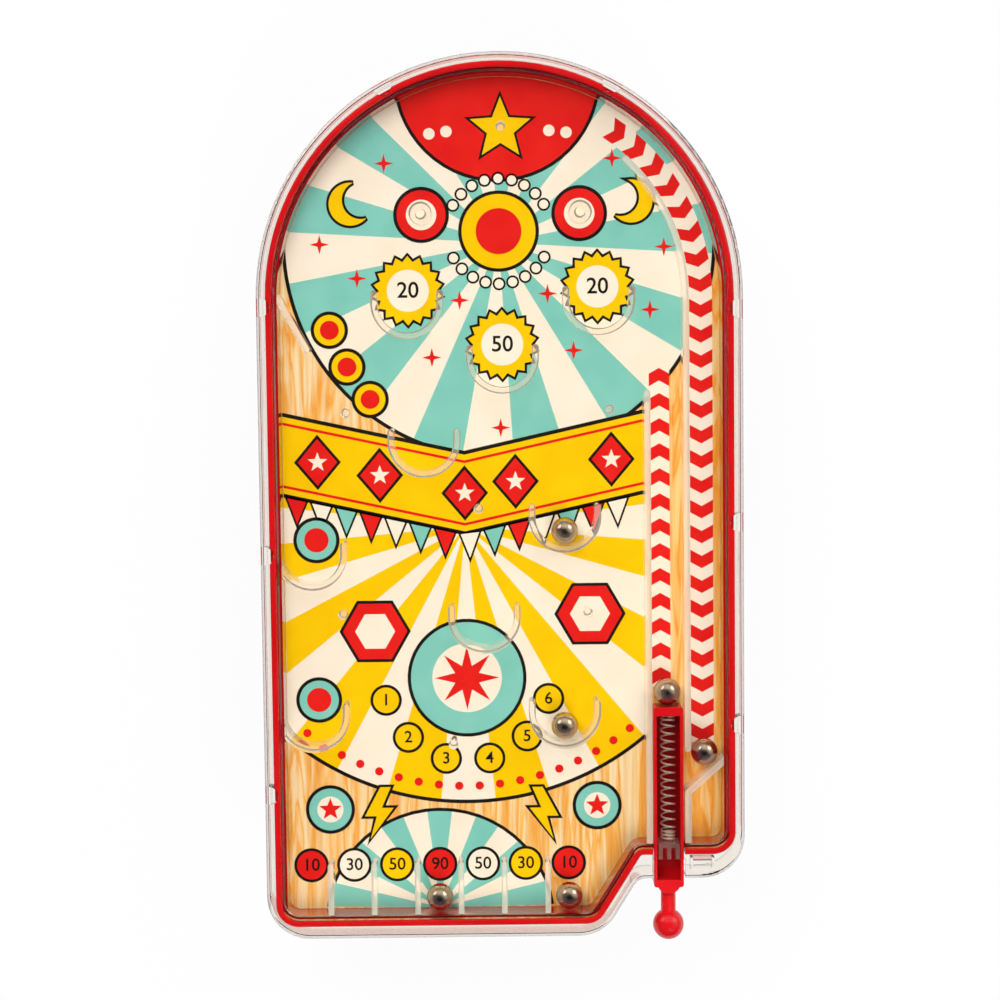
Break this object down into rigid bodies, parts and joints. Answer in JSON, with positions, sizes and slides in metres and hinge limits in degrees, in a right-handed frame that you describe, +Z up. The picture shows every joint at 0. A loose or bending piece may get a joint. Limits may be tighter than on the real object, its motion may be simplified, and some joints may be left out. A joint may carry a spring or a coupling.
{
  "type": "tabletop pinball game",
  "caption": "Arched tabletop pinball game with a red tray, printed field under a clear cover, a spring plunger, steel balls, cups, score pockets and a fold-out stand.",
  "frame": {"origin": "on the table under the middle of the board", "axes": "+X to the plunger's side, +Y to the arched end, +Z up out of the field"},
  "size_m": [0.169, 0.3132, 0.0208],
  "materials": {
    "red_plastic": "glossy moulded",
    "clear_plastic": "clear moulded",
    "printed_card": "satin print",
    "spring_steel": "bright wire",
    "steel_ball": "polished"
  },
  "bodies": {
    "cabinet": {"base_tray": "red_plastic", "playfield_card": "printed_card", "clear_cover": "clear_plastic", "shooter_lane_wall": "clear_plastic", "lane_divider": "clear_plastic", "feed_ramp": "clear_plastic", "left_deflector": "clear_plastic", "pocket_dividers": "clear_plastic", "cup_top_left": "clear_plastic", "cup_top_centre": "clear_plastic", "cup_top_right": "clear_plastic", "cup_mid_left": "clear_plastic", "cup_mid_right": "clear_plastic", "cup_left_upper": "clear_plastic", "cup_centre_low": "clear_plastic", "cup_lower_right": "clear_plastic", "cup_left_lower": "clear_plastic", "pegs": "clear_plastic", "bumper_posts": "clear_plastic", "spring_stop": "clear_plastic", "plunger_spring": "spring_steel"},
    "plunger": {"plunger": "red_plastic"},
    "ball_lane": {"ball_lane": "steel_ball"},
    "ball_feed": {"ball_feed": "steel_ball"},
    "ball_cup_mid": {"ball_cup_mid": "steel_ball"},
    "ball_cup_low": {"ball_cup_low": "steel_ball"},
    "ball_pocket_left": {"ball_pocket_left": "steel_ball"},
    "ball_pocket_right": {"ball_pocket_right": "steel_ball"},
    "stand": {"stand_leg": "red_plastic"}
  },
  "joints": [
    {"name": "plunger_slide", "type": "slide", "parent": "cabinet", "child": "plunger", "axis": [0, -1, 0], "range_m": [0, 0.03], "stiffness_N_per_m": 100, "deforming": ["plunger_spring"]},
    {"name": "ball_lane_run", "type": "slide", "parent": "cabinet", "child": "ball_lane", "axis": [0, 1, 0], "range_m": [0, 0.144]},
    {"name": "ball_feed_run", "type": "slide", "parent": "cabinet", "child": "ball_feed", "axis": [0, 1, 0], "range_m": [0, 0.164]},
    {"name": "ball_cup_mid_run", "type": "slide", "parent": "cabinet", "child": "ball_cup_mid", "axis": [0, 1, 0], "range_m": [0, 0.055]},
    {"name": "ball_cup_low_run", "type": "slide", "parent": "cabinet", "child": "ball_cup_low", "axis": [0, 1, 0], "range_m": [0, 0.049]},
    {"name": "ball_pocket_left_run", "type": "slide", "parent": "cabinet", "child": "ball_pocket_left", "axis": [0, 1, 0], "range_m": [0, 0.044]},
    {"name": "ball_pocket_right_run", "type": "slide", "parent": "cabinet", "child": "ball_pocket_right", "axis": [0, 1, 0], "range_m": [0, 0.039]},
    {"name": "stand_hinge", "type": "hinge", "parent": "cabinet", "child": "stand", "pos_m": [0, 0.09997, 0.003], "axis": [1, 0, 0], "range_deg": [0, 105]}
  ]
}
